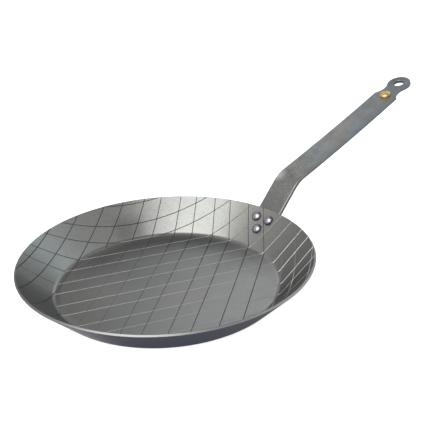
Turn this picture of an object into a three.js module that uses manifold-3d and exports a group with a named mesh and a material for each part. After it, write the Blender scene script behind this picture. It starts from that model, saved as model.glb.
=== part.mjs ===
// Steak pan: a shallow flared pan pressed from one sheet of steel, with a grid of grooves engraved on its
// cooking side, and a flat bar handle that three dome-headed rivets hold on the outside of the wall.
// Millimetres, +Z up. The origin is the centre of the base, on the hob. The handle points along +X.

import * as THREE from "three";
import { mergeVertices } from "three/addons/utils/BufferGeometryUtils.js";
import Module from "manifold-3d";

const wasm = await Module();
wasm.setup();

// Pan
const SHEET = 2.5; // thickness of the sheet
const RIM_RADIUS = 140; // outer corner of the rim
const RIM_HEIGHT = 31.5; // outer corner of the rim, above the hob
const BASE_RADIUS = 104.5; // flat part of the underside
const BASE_BEND = 9; // outside radius of the bend from base to wall

// Engraved grid, as it lies on the flat blank before the blank is pressed
const GRID_STAGGER = 1; // every second line stands this far to one side, the others as far to the other
const GROOVE_WIDTH = 0.8;
const GROOVE_DEPTH = 0.45;
const GROOVE_RUNOUT = 0.6; // length over which a groove rises to the surface at its end
const GRID_MARGIN = 0.4; // plain steel between the groove ends and the rim
// The heading is the direction of the lines from the handle's axis, the pitch their mean distance. The offset and
// the lean are those of the line nearest the centre: its distance from it, and the side it is staggered to.
const GRID_FAMILIES = [
  { heading: THREE.MathUtils.degToRad(-24.25), pitch: 20.87, offset: -0.6, lean: -1 },
  { heading: THREE.MathUtils.degToRad(35.5), pitch: 20.62, offset: -0.45, lean: 1 },
];

// Handle bar. Its top face lies along the outside of the wall, bends at the neck and curls gently upwards.
const BAR_WIDTH = 29;
const BAR_THICKNESS = 4;
const NECK_LENGTH = 41.1; // top face, from the rim to the corner of the bend
const NECK_BEND = 38; // radius of the bend on the top face
const GRIP_LENGTH = 196.2; // top face, from the corner of the bend to the centre of the hanging eye
const GRIP_ANGLE = THREE.MathUtils.degToRad(15.6); // slope of the grip as it leaves the bend
const GRIP_CURL = THREE.MathUtils.degToRad(2.8); // slope that it gains along its length
const GRIP_END = 42; // flat stretch before the centre of the eye
const FOOT_MARGIN = 9.5; // bar below the lowest rivet
const FOOT_CORNER = 10; // round corners of the foot

// Hanging eye: a round end behind a waist
const EYE_RADIUS = 13.3;
const EYE_HOLE_RADIUS = 5.7;
const WAIST_WIDTH = 19.4;
const WAIST_DISTANCE = 14; // narrowest place of the waist, from the centre of the eye

// Rivets: two side by side below the rim and one under them
const RIVET_DROP = 11; // upper rivets below the rim, along the wall
const RIVET_ROW_STEP = 12.5; // lower rivet below the upper ones
const RIVET_SPACING = 17; // between the upper rivets
const RIVET_HEAD_RADIUS = 5.2;
const RIVET_HEAD_HEIGHT = 3.2;
const RIVET_HEAD_EDGE = 0.5; // upright edge under the dome
const RIVET_SHANK_RADIUS = 3;
const RIVET_TAIL_RADIUS = 4.6;
const RIVET_TAIL_HEIGHT = 2;
const RIVET_TAIL_CHAMFER = 0.8;

// Plain domed button plugged into the bar beside the eye
const BUTTON_RADIUS = 6.2;
const BUTTON_HEIGHT = 2.2;
const BUTTON_EDGE = 0.6; // upright edge under the dome
const BUTTON_DISTANCE = 26; // from the centre of the eye
const BUTTON_STEM_RADIUS = 3;
const BUTTON_TAIL_RADIUS = 4.2;
const BUTTON_TAIL_HEIGHT = 1.2;

const SEAT_GAP = 0.3; // between faces that bear on each other, and round a shank in its hole

// Facets
const PAN_SIDES = 72;
const BEND_STEPS = 4;
const WALL_STEPS = 2;
const ARC_STEPS = 10;
const ROUND_SIDES = 24;
const DOME_STEPS = 5;
const NEAR = 1e-6;

const steel = { metalness: 1, roughness: 0.42 };
const panMaterial = new THREE.MeshStandardMaterial({ ...steel, color: 0x8b8d8c });
const barMaterial = new THREE.MeshStandardMaterial({ ...steel, color: 0x7e8081, roughness: 0.5 });
const rivetMaterial = new THREE.MeshStandardMaterial({ ...steel, color: 0xb9b6c2, roughness: 0.25 });
const buttonMaterial = new THREE.MeshStandardMaterial({ color: 0xd9992e, roughness: 0.35, metalness: 0.3 });

// Solids

function solidOf(geometry) {
  const bare = new THREE.BufferGeometry();
  const flat = geometry.index ? geometry.toNonIndexed() : geometry;
  bare.setAttribute("position", flat.getAttribute("position"));
  const merged = mergeVertices(bare);
  return new wasm.Manifold(
    new wasm.Mesh({
      numProp: 3,
      vertProperties: new Float32Array(merged.getAttribute("position").array),
      triVerts: new Uint32Array(merged.index.array),
    }),
  );
}

function geometryOf(solid) {
  const mesh = solid.getMesh();
  const geometry = new THREE.BufferGeometry();
  geometry.setAttribute("position", new THREE.BufferAttribute(mesh.vertProperties, 3));
  geometry.setIndex(new THREE.BufferAttribute(mesh.triVerts, 1));
  geometry.computeVertexNormals();
  return geometry;
}

// A solid in the place that a frame gives it.
function placedSolid(geometry, frame) {
  frame.updateWorldMatrix(true, false);
  return solidOf(geometry.clone().applyMatrix4(frame.matrixWorld));
}

// A turned piece, from (radius, height) points that run up its side from axis to axis.
function turned(points) {
  const outline = points.map(([radius, height]) => new THREE.Vector2(radius, height));
  return new THREE.LatheGeometry(outline, ROUND_SIDES).rotateX(Math.PI / 2);
}

// Points over a dome, from its edge to its top.
function dome(radius, base, height) {
  return Array.from({ length: DOME_STEPS + 1 }, (_, step) => {
    const angle = (step / DOME_STEPS) * (Math.PI / 2);
    return [step === DOME_STEPS ? 0 : radius * Math.cos(angle), base + height * Math.sin(angle)];
  });
}

function cylinder(radius, height) {
  return new THREE.CylinderGeometry(radius, radius, height, ROUND_SIDES).rotateX(Math.PI / 2);
}

// Pan profile. The outside of the wall is the tangent from the rim's outer corner to the bend.

const run = RIM_RADIUS - BASE_RADIUS;
const rise = RIM_HEIGHT - BASE_BEND;
const wallLength = Math.sqrt(run ** 2 + rise ** 2 - BASE_BEND ** 2);
const wallAngle = Math.atan2(rise, run) + Math.atan2(BASE_BEND, wallLength);
const insideBend = BASE_BEND - SHEET;
const bendLength = insideBend * wallAngle;
const blankRadius = BASE_RADIUS + bendLength + wallLength;
const gridRadius = blankRadius - GRID_MARGIN;

// Where the press takes a point of the flat blank. The reach is its distance from the centre along the
// cooking side, the angle its direction round the pan, and the depth how far it lies below the cooking side.
function press(reach, angle, depth) {
  const lean = THREE.MathUtils.clamp((reach - BASE_RADIUS) / insideBend, 0, wallAngle);
  const flat = Math.min(reach, BASE_RADIUS);
  const straight = Math.max(reach - BASE_RADIUS - bendLength, 0);
  const bend = insideBend + depth;
  const radius = flat + bend * Math.sin(lean) + straight * Math.cos(lean);
  const height = BASE_BEND - bend * Math.cos(lean) + straight * Math.sin(lean);
  return new THREE.Vector3(radius * Math.cos(angle), radius * Math.sin(angle), height);
}

// Engraved blank: flat convex cells, cut along both edges and the bottom of every groove.

function evenSteps(from, to, count) {
  return Array.from({ length: count + 1 }, (_, i) => from + ((to - from) * i) / count);
}

function ringPoint(radius, side) {
  const angle = ((side % PAN_SIDES) / PAN_SIDES) * 2 * Math.PI;
  return new THREE.Vector2(radius * Math.cos(angle), radius * Math.sin(angle));
}

function heading(point) {
  return Math.atan2(point.y, point.x);
}

function blankCells() {
  const around = Array.from({ length: PAN_SIDES }, (_, side) => side);
  const bends = evenSteps(BASE_RADIUS, BASE_RADIUS + bendLength, BEND_STEPS);
  const walls = evenSteps(bends.at(-1), gridRadius - GROOVE_RUNOUT, WALL_STEPS).slice(1);
  const rings = [...bends, ...walls, gridRadius, blankRadius];
  const cells = [{ corners: around.map((side) => ringPoint(BASE_RADIUS, side)), engraved: true }];
  rings.slice(1).forEach((outer, i) => {
    for (const side of around) {
      const corners = [
        ringPoint(outer, side + 1),
        ringPoint(rings[i], side + 1),
        ringPoint(rings[i], side),
        ringPoint(outer, side),
      ];
      cells.push({ corners, engraved: outer < blankRadius });
    }
  });
  return cells;
}

// The point where a cell's edge meets a line, the same from either side of the edge.
function crossing(a, b, distanceA, distanceB) {
  const swap = a.x > b.x || (a.x === b.x && a.y > b.y);
  const [from, to, start, end] = swap ? [b, a, distanceB, distanceA] : [a, b, distanceA, distanceB];
  return from.clone().lerp(to, start / (start - end));
}

// Cuts the cells along a line of the blank. The plain cells of the margin stay whole, and only take over the
// corners that their neighbours gain.
function cutCells(cells, across, offset) {
  const marginMiddle = (gridRadius + blankRadius) / 2;
  return cells.flatMap((cell) => {
    const distances = cell.corners.map((corner) => corner.dot(across) - offset);
    if (Math.min(...distances) > -NEAR || Math.max(...distances) < NEAR) return [cell];
    const low = [];
    const high = [];
    const whole = [];
    cell.corners.forEach((corner, i) => {
      const next = (i + 1) % cell.corners.length;
      const neighbour = cell.corners[next];
      whole.push(corner);
      if (distances[i] < NEAR) low.push(corner);
      if (distances[i] > -NEAR) high.push(corner);
      if (Math.min(Math.abs(distances[i]), Math.abs(distances[next])) < NEAR) return;
      if (distances[i] * distances[next] > 0) return;
      const point = crossing(corner, neighbour, distances[i], distances[next]);
      low.push(point);
      high.push(point);
      if (Math.max(corner.length(), neighbour.length()) < marginMiddle) whole.push(point);
    });
    if (!cell.engraved) return [{ corners: whole, engraved: false }];
    return [low, high].map((corners) => ({ corners, engraved: true }));
  });
}

function grooveLines() {
  return GRID_FAMILIES.flatMap(({ heading, pitch, offset, lean }) => {
    const most = Math.ceil(blankRadius / pitch);
    const across = new THREE.Vector2(-Math.sin(heading), Math.cos(heading));
    return Array.from({ length: 2 * most + 1 }, (_, i) => {
      const line = i - most;
      const side = line % 2 === 0 ? lean : -lean;
      return { across, offset: offset + line * pitch + side * GRID_STAGGER };
    });
  }).filter((line) => Math.abs(line.offset) < gridRadius - GROOVE_WIDTH);
}

// Depth of the V-shaped grooves at a point of the blank. They end on the outer ring of the grid.
function grooveDepth(point, lines) {
  const onLastRing = point.length() > gridRadius * Math.cos(Math.PI / PAN_SIDES) - NEAR;
  if (onLastRing) return 0;
  const distances = lines.map(({ across, offset }) => Math.abs(point.dot(across) - offset));
  return GROOVE_DEPTH * Math.max(0, 1 - Math.min(...distances) / (GROOVE_WIDTH / 2));
}

function pressedPan() {
  const lines = grooveLines();
  let cells = blankCells();
  for (const { across, offset } of lines) {
    for (const edge of [-GROOVE_WIDTH / 2, 0, GROOVE_WIDTH / 2]) {
      cells = cutCells(cells, across, offset + edge);
    }
  }
  const corners = [];
  for (const cell of cells) {
    const shaped = cell.corners.map((p) => press(p.length(), heading(p), grooveDepth(p, lines)));
    for (let i = 1; i < shaped.length - 1; i += 1) corners.push(shaped[0], shaped[i], shaped[i + 1]);
  }
  corners.push(...underside());
  return new THREE.BufferGeometry().setFromPoints(corners);
}

// The cut edge of the rim, the outside of the wall and the base, down to the centre.
function underside() {
  const bends = evenSteps(BASE_RADIUS + bendLength, BASE_RADIUS, BEND_STEPS);
  const rings = [[blankRadius, 0], ...[blankRadius, ...bends].map((reach) => [reach, SHEET])];
  const corners = [];
  for (let side = 0; side < PAN_SIDES; side += 1) {
    const [here, next] = [side, side + 1].map((s) => {
      const angle = heading(ringPoint(blankRadius, s));
      return rings.map(([reach, depth]) => press(reach, angle, depth));
    });
    for (let i = 0; i < rings.length - 1; i += 1) {
      corners.push(here[i], here[i + 1], next[i + 1], here[i], next[i + 1], next[i]);
    }
    corners.push(here.at(-1), press(0, 0, SHEET), next.at(-1));
  }
  return corners;
}

// Places on the wall, the drop measured down the wall from the rim. X points up the slope and Z into the pan.

function wallFrame(angle, drop) {
  const frame = new THREE.Group();
  frame.position.copy(press(blankRadius - drop, angle, 0));
  frame.rotation.set(0, -wallAngle, angle, "ZYX");
  return frame;
}

const lowerDrop = RIVET_DROP + RIVET_ROW_STEP;
const upperWallRadius = press(blankRadius - RIVET_DROP, 0, SHEET).x;
const sideAngle = Math.asin(RIVET_SPACING / 2 / upperWallRadius);
const rivetPlaces = [
  { name: "rivet_left", frame: wallFrame(sideAngle, RIVET_DROP), aside: RIVET_SPACING / 2 },
  { name: "rivet_right", frame: wallFrame(-sideAngle, RIVET_DROP), aside: RIVET_SPACING / 2 },
  { name: "rivet_lower", frame: wallFrame(0, lowerDrop), aside: 0 },
];

// Rivet, with its head inside the pan and its tail set over the flat foot of the handle. The wall curves away
// from the foot, so a rivet that sits aside reaches further.
function rivet(aside) {
  const wallCurve = upperWallRadius / Math.sin(wallAngle);
  const footStep = (aside + RIVET_TAIL_RADIUS) ** 2 / (2 * wallCurve);
  const tailTop = -(SHEET + SEAT_GAP + BAR_THICKNESS + footStep + SEAT_GAP);
  const tailEnd = tailTop - RIVET_TAIL_HEIGHT;
  return turned([
    [0, tailEnd],
    [RIVET_TAIL_RADIUS - RIVET_TAIL_CHAMFER, tailEnd],
    [RIVET_TAIL_RADIUS, tailEnd + RIVET_TAIL_CHAMFER],
    [RIVET_TAIL_RADIUS, tailTop],
    [RIVET_SHANK_RADIUS, tailTop],
    [RIVET_SHANK_RADIUS, SEAT_GAP],
    [RIVET_HEAD_RADIUS, SEAT_GAP],
    ...dome(RIVET_HEAD_RADIUS, SEAT_GAP + RIVET_HEAD_EDGE, RIVET_HEAD_HEIGHT - RIVET_HEAD_EDGE),
  ]);
}

function rivetHoles() {
  const length = 4 * (SHEET + BAR_THICKNESS);
  return rivetPlaces.map(({ frame }) => placedSolid(cylinder(RIVET_SHANK_RADIUS + SEAT_GAP, length), frame));
}

function withoutHoles(solid, holes) {
  return holes.reduce((rest, hole) => rest.subtract(hole), solid);
}

// Handle, drawn from the side in X and Z

const slopeUp = (angle) => new THREE.Vector2(Math.cos(angle), Math.sin(angle));
const faceUp = (angle) => new THREE.Vector2(-Math.sin(angle), Math.cos(angle));
const along = (point, direction, distance) => point.clone().addScaledVector(direction, distance);

const rimSeat = along(new THREE.Vector2(RIM_RADIUS, RIM_HEIGHT), faceUp(wallAngle), -SEAT_GAP);
const footLength = lowerDrop + FOOT_MARGIN;
const footEnd = along(rimSeat, slopeUp(wallAngle), -footLength);
const bendTangent = NECK_BEND * Math.tan((wallAngle - GRIP_ANGLE) / 2);
const bendStart = along(rimSeat, slopeUp(wallAngle), NECK_LENGTH - bendTangent);
const bendCentre = along(bendStart, faceUp(wallAngle), -NECK_BEND);
const bendEnd = along(bendCentre, faceUp(GRIP_ANGLE), NECK_BEND);
const curlRadius = (GRIP_LENGTH - bendTangent - GRIP_END) / GRIP_CURL;
const curlCentre = along(bendEnd, faceUp(GRIP_ANGLE), curlRadius);
const endAngle = GRIP_ANGLE + GRIP_CURL;
const curlEnd = along(curlCentre, faceUp(endAngle), -curlRadius);
const eyeCentre = along(curlEnd, slopeUp(endAngle), GRIP_END);
const barReach = footLength + NECK_LENGTH + GRIP_LENGTH + EYE_RADIUS;

// A shape of the X-Z plane, as wide as the bar
function extrudedAcross(shape) {
  const options = { depth: BAR_WIDTH, bevelEnabled: false, curveSegments: ARC_STEPS };
  return new THREE.ExtrudeGeometry(shape, options).rotateX(Math.PI / 2).translate(0, BAR_WIDTH / 2, 0);
}

function bentBar() {
  const quarter = Math.PI / 2;
  const barEnd = along(eyeCentre, slopeUp(endAngle), EYE_RADIUS);
  const shape = new THREE.Shape();
  shape.absarc(bendCentre.x, bendCentre.y, NECK_BEND, quarter + wallAngle, quarter + GRIP_ANGLE, true);
  shape.absarc(curlCentre.x, curlCentre.y, curlRadius, GRIP_ANGLE - quarter, endAngle - quarter, false);
  shape.lineTo(barEnd.x, barEnd.y);
  const under = along(barEnd, faceUp(endAngle), -BAR_THICKNESS);
  const footUnder = along(footEnd, faceUp(wallAngle), -BAR_THICKNESS);
  const [curlUnder, bendUnder] = [curlRadius + BAR_THICKNESS, NECK_BEND - BAR_THICKNESS];
  shape.lineTo(under.x, under.y);
  shape.absarc(curlCentre.x, curlCentre.y, curlUnder, endAngle - quarter, GRIP_ANGLE - quarter, true);
  shape.absarc(bendCentre.x, bendCentre.y, bendUnder, quarter + GRIP_ANGLE, quarter + wallAngle, false);
  shape.lineTo(footUnder.x, footUnder.y);
  shape.lineTo(footEnd.x, footEnd.y);
  return solidOf(extrudedAcross(shape));
}

// Frames on the top face of the bar: X along it and Z out of it
function barFrame(point, angle) {
  const frame = new THREE.Group();
  frame.position.set(point.x, 0, point.y);
  frame.rotation.y = -angle;
  return frame;
}

const eyeFrame = barFrame(eyeCentre, endAngle);
const footFrame = barFrame(footEnd, wallAngle);
const buttonFrame = barFrame(along(eyeCentre, slopeUp(endAngle), -BUTTON_DISTANCE), endAngle);

// Everything that an outline of the bar, seen square to its face, leaves standing
function trimmed(bar, outline, frame) {
  const options = { depth: 2 * barReach, bevelEnabled: false, curveSegments: ARC_STEPS };
  const keep = new THREE.ExtrudeGeometry(outline, options).translate(0, 0, -barReach);
  return bar.intersect(placedSolid(keep, frame));
}

function circlePath(x, radius) {
  return new THREE.Path().absarc(x, 0, radius, 0, 2 * Math.PI, false);
}

// The end of the bar round the centre of the eye: a hollow on each side that runs smoothly into the round end
function eyeOutline() {
  const halfBar = BAR_WIDTH / 2;
  const halfWaist = WAIST_WIDTH / 2;
  const hollow =
    (WAIST_DISTANCE ** 2 + halfWaist ** 2 - EYE_RADIUS ** 2) / (2 * (EYE_RADIUS - halfWaist));
  const hollowY = halfWaist + hollow;
  const shoulderX = -WAIST_DISTANCE - Math.sqrt(hollow ** 2 - (hollowY - halfBar) ** 2);
  const shoulder = Math.atan2(halfBar - hollowY, shoulderX + WAIST_DISTANCE);
  const tangent = Math.atan2(hollowY, -WAIST_DISTANCE);
  const shape = new THREE.Shape();
  shape.moveTo(-barReach, -BAR_WIDTH);
  shape.lineTo(shoulderX, -BAR_WIDTH);
  shape.absarc(-WAIST_DISTANCE, -hollowY, hollow, -shoulder, Math.PI - tangent, true);
  shape.absarc(0, 0, EYE_RADIUS, -tangent, tangent, false);
  shape.absarc(-WAIST_DISTANCE, hollowY, hollow, tangent - Math.PI, shoulder, true);
  shape.lineTo(shoulderX, BAR_WIDTH);
  shape.lineTo(-barReach, BAR_WIDTH);
  shape.holes.push(circlePath(0, EYE_HOLE_RADIUS));
  shape.holes.push(circlePath(-BUTTON_DISTANCE, BUTTON_STEM_RADIUS + SEAT_GAP));
  return shape;
}

// The foot of the bar from its lower end, with round corners
function footOutline() {
  const corner = Math.min(FOOT_CORNER, BAR_WIDTH / 2 - NEAR);
  const middle = BAR_WIDTH / 2 - corner;
  const quarter = Math.PI / 2;
  const shape = new THREE.Shape();
  shape.moveTo(2 * barReach, BAR_WIDTH);
  shape.lineTo(corner, BAR_WIDTH);
  shape.absarc(corner, middle, corner, quarter, 2 * quarter, false);
  shape.absarc(corner, -middle, corner, 2 * quarter, 3 * quarter, false);
  shape.lineTo(corner, -BAR_WIDTH);
  shape.lineTo(2 * barReach, -BAR_WIDTH);
  return shape;
}

function handleBar() {
  const trimmedFoot = trimmed(bentBar(), footOutline(), footFrame);
  const trimmedEye = trimmed(trimmedFoot, eyeOutline(), eyeFrame);
  return geometryOf(withoutHoles(trimmedEye, rivetHoles()));
}

// Button, with its stem through the bar and a flange behind it
function button() {
  const flangeTop = -(BAR_THICKNESS + SEAT_GAP);
  return turned([
    [0, flangeTop - BUTTON_TAIL_HEIGHT],
    [BUTTON_TAIL_RADIUS, flangeTop - BUTTON_TAIL_HEIGHT],
    [BUTTON_TAIL_RADIUS, flangeTop],
    [BUTTON_STEM_RADIUS, flangeTop],
    [BUTTON_STEM_RADIUS, SEAT_GAP],
    [BUTTON_RADIUS, SEAT_GAP],
    ...dome(BUTTON_RADIUS, SEAT_GAP + BUTTON_EDGE, BUTTON_HEIGHT - BUTTON_EDGE),
  ]);
}

// Assembly

function piece(name, geometry, material) {
  const mesh = new THREE.Mesh(geometry, material);
  mesh.name = name;
  return mesh;
}

const pan = new THREE.Group();
pan.add(piece("pan_body", geometryOf(withoutHoles(solidOf(pressedPan()), rivetHoles())), panMaterial));
pan.add(piece("handle_bar", handleBar(), barMaterial));
for (const { name, frame, aside } of rivetPlaces) {
  frame.add(piece(name, rivet(aside), rivetMaterial));
  pan.add(frame);
}
buttonFrame.add(piece("handle_button", button(), buttonMaterial));
pan.add(buttonFrame);

export default pan;
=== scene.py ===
# %% [markdown]
# # A steak pan of pressed steel
#
# The real pan starts as a flat disc of steel sheet. A diamond grid is engraved on it, and a press forms
# it into a shallow flared pan. A bent flat bar is its handle, three dome-headed rivets hold the bar on
# the wall, and a small golden button sits beside the hanging eye.
#
# A CAD model of the same pan is packed already, and it fixes where every piece is: in metres, with the
# handle along +X and the base on the floor. Each piece made here stands in for one CAD node. It keeps
# the node's place and size, and adds rounded edges, smooth curves and a finish.

import math

import bmesh
import bpy
import numpy as np
from mathutils import Matrix, Vector


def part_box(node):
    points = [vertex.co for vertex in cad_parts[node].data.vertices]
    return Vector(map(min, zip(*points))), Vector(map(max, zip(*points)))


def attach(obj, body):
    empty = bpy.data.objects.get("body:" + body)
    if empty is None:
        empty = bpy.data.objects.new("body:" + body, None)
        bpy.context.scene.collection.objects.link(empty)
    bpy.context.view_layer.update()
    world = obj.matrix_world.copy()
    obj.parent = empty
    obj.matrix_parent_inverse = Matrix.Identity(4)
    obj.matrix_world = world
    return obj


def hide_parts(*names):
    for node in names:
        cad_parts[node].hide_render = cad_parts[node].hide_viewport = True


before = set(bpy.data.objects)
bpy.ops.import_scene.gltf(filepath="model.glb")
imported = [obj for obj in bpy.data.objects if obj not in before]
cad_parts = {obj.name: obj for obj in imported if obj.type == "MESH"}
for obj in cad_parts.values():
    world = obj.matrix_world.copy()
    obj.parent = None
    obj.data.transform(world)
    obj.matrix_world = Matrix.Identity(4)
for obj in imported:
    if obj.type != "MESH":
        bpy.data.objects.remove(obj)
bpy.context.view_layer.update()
scene = bpy.context.scene
print("CAD nodes:", ", ".join(sorted(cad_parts)))

# %% [markdown]
# ## Camera
#
# A camera can be placed by eye, but a picture that has to be matched leaves no freedom: the rim and the
# base are circles of known size, so their ellipses in the photograph give the distance, the tilt and
# the lens. The numbers below are that fit, as seen by the photographer: x to the right, y away and z
# up. The handle leaves towards the right and the back, so directions are turned back by its angle to
# reach the model's frame.

# %% Camera of the photograph
PICTURE_PIXELS = 423
SENSOR_WIDTH = 36.0
FOCAL_PIXELS = 864.6
CAMERA_DISTANCE = 0.8216
CAMERA_ASIDE = 0.04151
CAMERA_RAISE = 0.07056
CAMERA_TILT = math.radians(24.17)
CAMERA_ROLL = math.radians(-2.76)
HANDLE_TURN = math.radians(41.82)


def from_picture(right, away, up):
    """A direction of the photograph, turned into the model's frame."""
    return Matrix.Rotation(-HANDLE_TURN, 3, "Z") @ Vector((right, away, up))


def camera_of_photograph():
    level = from_picture(1, 0, 0)
    upward = from_picture(0, math.sin(CAMERA_TILT), math.cos(CAMERA_TILT))
    back = from_picture(0, -math.cos(CAMERA_TILT), math.sin(CAMERA_TILT))
    right = level * math.cos(CAMERA_ROLL) + upward * math.sin(CAMERA_ROLL)
    top = upward * math.cos(CAMERA_ROLL) - level * math.sin(CAMERA_ROLL)
    place = back * CAMERA_DISTANCE + right * CAMERA_ASIDE + top * CAMERA_RAISE
    lens = bpy.data.cameras.new("photograph")
    lens.sensor_width = SENSOR_WIDTH
    lens.lens = SENSOR_WIDTH * FOCAL_PIXELS / PICTURE_PIXELS
    camera = bpy.data.objects.new("photograph", lens)
    turn = Matrix((right, top, back)).transposed()
    camera.matrix_world = Matrix.Translation(place) @ turn.to_4x4()
    scene.collection.objects.link(camera)
    return camera


scene.camera = camera_of_photograph()
print("lens", round(scene.camera.data.lens, 2), "mm")

# %% [markdown]
# ## Wires for shader maths
#
# Node trees are easy to draw and slow to read as code. This small class wraps one output socket, so
# that sums and products of sockets are written as sums and products: each adds its own Math node.
# Everything else, from a noise texture to a colour mix, comes from its one method for nodes. A few
# helpers then name what many finishes need.

# %% Wires
def set_stops(scale, stops):
    while len(scale.elements) < len(stops):
        scale.elements.new(1.0)
    for element, (position, colour) in zip(scale.elements, stops):
        element.position = position
        element.color = (*colour, 1)


def pick(sockets, key):
    """A socket by its number, or by its name among those that the node's settings leave in use."""
    if isinstance(key, int):
        return sockets[key]
    return next(socket for socket in sockets if socket.name == key and socket.enabled)


class Wire:
    """An output of a node. Arithmetic with wires and numbers adds Math nodes and gives a new wire."""

    def __init__(self, tree, socket=None):
        self.tree = tree
        self.socket = socket

    def node(self, kind, settings, inputs):
        """Adds a node from its type, its settings, which are set first, and its inputs."""
        made = self.tree.nodes.new("ShaderNode" + kind)
        for name, value in settings.items():
            if name == "stops":
                set_stops(made.color_ramp, value)
            else:
                setattr(made, name, value)
        for key, value in inputs.items():
            if isinstance(value, Wire):
                self.tree.links.new(value.socket, pick(made.inputs, key))
            else:
                pick(made.inputs, key).default_value = value
        return Wire(self.tree, next(socket for socket in made.outputs if socket.enabled))

    def out(self, name):
        """Another output of the same node."""
        return Wire(self.tree, self.socket.node.outputs[name])

    def feed(self, shader, name):
        self.tree.links.new(self.socket, shader.inputs[name])

    def math(self, operation, first, second):
        return self.node("Math", {"operation": operation}, {0: first, 1: second})

    def __add__(self, other):
        return self.math("ADD", self, other)

    def __sub__(self, other):
        return self.math("SUBTRACT", self, other)

    def __rsub__(self, other):
        return self.math("SUBTRACT", other, self)

    def __mul__(self, other):
        return self.math("MULTIPLY", self, other)

    def __truediv__(self, other):
        return self.math("DIVIDE", self, other)

    def __rtruediv__(self, other):
        return self.math("DIVIDE", other, self)

    def __pow__(self, other):
        return self.math("POWER", self, other)

    def __rpow__(self, other):
        return self.math("POWER", other, self)

    __radd__ = __add__
    __rmul__ = __mul__


print("wires ready")

# %% Nodes for every finish
BUMP_HEIGHT = 0.0001


def new_finish(name, metallic):
    """A material, its shader, and a wire with the place on the piece to build on."""
    material = bpy.data.materials.new(name)
    material.use_nodes = True
    shader = material.node_tree.nodes["Principled BSDF"]
    shader.inputs["Metallic"].default_value = metallic
    return material, shader, Wire(material.node_tree).node("TexCoord", {}, {}).out("Object")


def grey(tone):
    return (tone, tone, tone)


def ramp(factor, *stops):
    """Tones along a factor. Each stop is a place from 0 to 1 and a grey or a colour."""
    shades = [(place, tone if isinstance(tone, tuple) else grey(tone)) for place, tone in stops]
    return factor.node("ValToRGB", {"stops": shades}, {0: factor})


def blended(factor, first, second):
    """A colour between two others."""
    mixed = [shade if isinstance(shade, Wire) else (*shade, 1) for shade in (first, second)]
    return factor.node("Mix", {"data_type": "RGBA"}, {"Factor": factor, "A": mixed[0], "B": mixed[1]})


def facing(direction, heading):
    """How far a direction points along a heading."""
    pair = {0: direction, 1: heading}
    return direction.node("VectorMath", {"operation": "DOT_PRODUCT"}, pair).out("Value")


def coordinate(place, axis):
    return place.node("SeparateXYZ", {}, {0: place}).out(axis)


def level_of(place):
    """A place or direction without its height."""
    return place.node("VectorMath", {"operation": "MULTIPLY"}, {0: place, 1: (1, 1, 0)})


def length_of(direction):
    return direction.node("VectorMath", {"operation": "LENGTH"}, {0: direction}).out("Value")


def as_factor(value):
    """Turns a value from -1 to 1 into a factor from 0 to 1."""
    return value * 0.5 + 0.5


def noise(place, per_metre, detail):
    """Noise with so many dots for each metre."""
    return place.node("TexNoise", {}, {"Vector": place, "Scale": per_metre, "Detail": detail})


def stretched_noise(place, per_metre, detail):
    """Noise with its own number of dots for each metre along each axis."""
    return noise(place.node("Mapping", {}, {"Vector": place, "Scale": per_metre}), 1.0, detail)


def measure_of(place, name):
    """A measure that is kept on the mesh."""
    return place.node("Attribute", {"attribute_name": name}, {}).out("Fac")


def grained(shader, height, strength):
    """Bumps the shader's surface. A height of 1 stands for the bump height."""
    bump = height.node("Bump", {}, {"Strength": strength, "Distance": BUMP_HEIGHT, "Height": height})
    bump.feed(shader, "Normal")


print("bumps are", BUMP_HEIGHT * 1000, "mm high")

# %% [markdown]
# ## Table and light
#
# Bare steel has hardly any colour of its own: it shows what stands around it. So the room is built
# backwards, from rays that leave the camera, meet the pan and go on to where a light has to hang. The
# back wall mirrors the softbox above, and the grooves of the right wall the one in front. The floor
# mirrors the window, the left wall the card at the right, the grip the card behind, and the outer wall
# a faint glow from below. All the rest is a dim grey room, brighter to the sides and the front. The
# table is a milky sheet lit from below, as product photographers use for a white ground. It is kept out
# of the steel's reflections, because the photograph's outer wall is dark.

# %% Room
ROOM_BELOW = (0.18, 0.185, 0.23)
ROOM_LOW = [(0.0, ROOM_BELOW), (0.05, ROOM_BELOW), (0.12, 0.25), (0.30, 0.29), (0.47, 0.31)]
ROOM_HIGH = [(0.53, 0.37), (0.69, 0.37), (0.76, 0.48), (0.84, 0.54), (0.91, 0.36), (1.0, 0.20)]
MORE_IN_FRONT = 0.45
MORE_AT_SIDES = 0.7
MORE_AT_RIGHT = 0.05


def dim_room():
    room = bpy.data.worlds.new("dim_room")
    room.use_nodes = True
    direction = Wire(room.node_tree).node("TexCoord", {}, {}).out("Generated")
    upward = coordinate(direction, "Z")
    frontward = facing(direction, from_picture(0, -1, 0))
    sideward = facing(direction, from_picture(1, 0, 0))
    background = room.node_tree.nodes["Background"]
    ramp(as_factor(upward), *ROOM_LOW, *ROOM_HIGH).feed(background, "Color")
    sides = MORE_AT_SIDES * sideward**2.0 + MORE_AT_RIGHT * sideward
    (1.0 + MORE_IN_FRONT * frontward + sides).feed(background, "Strength")
    return room


scene.world = dim_room()
scene.view_settings.view_transform = "Standard"
print("room", scene.world.name)


# %% Softboxes
LIGHT_DISTANCE = 2.0


def softbox(name, direction, width, height, brightness, colour=(1, 1, 1)):
    lamp = bpy.data.lights.new(name, "AREA")
    lamp.shape = "RECTANGLE"
    lamp.size = width
    lamp.size_y = height
    lamp.energy = brightness * width * height
    lamp.color = colour
    holder = bpy.data.objects.new(name, lamp)
    holder.location = direction.normalized() * LIGHT_DISTANCE
    holder.rotation_euler = direction.to_track_quat("Z", "Y").to_euler()
    holder.visible_camera = False
    scene.collection.objects.link(holder)
    return holder


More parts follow.
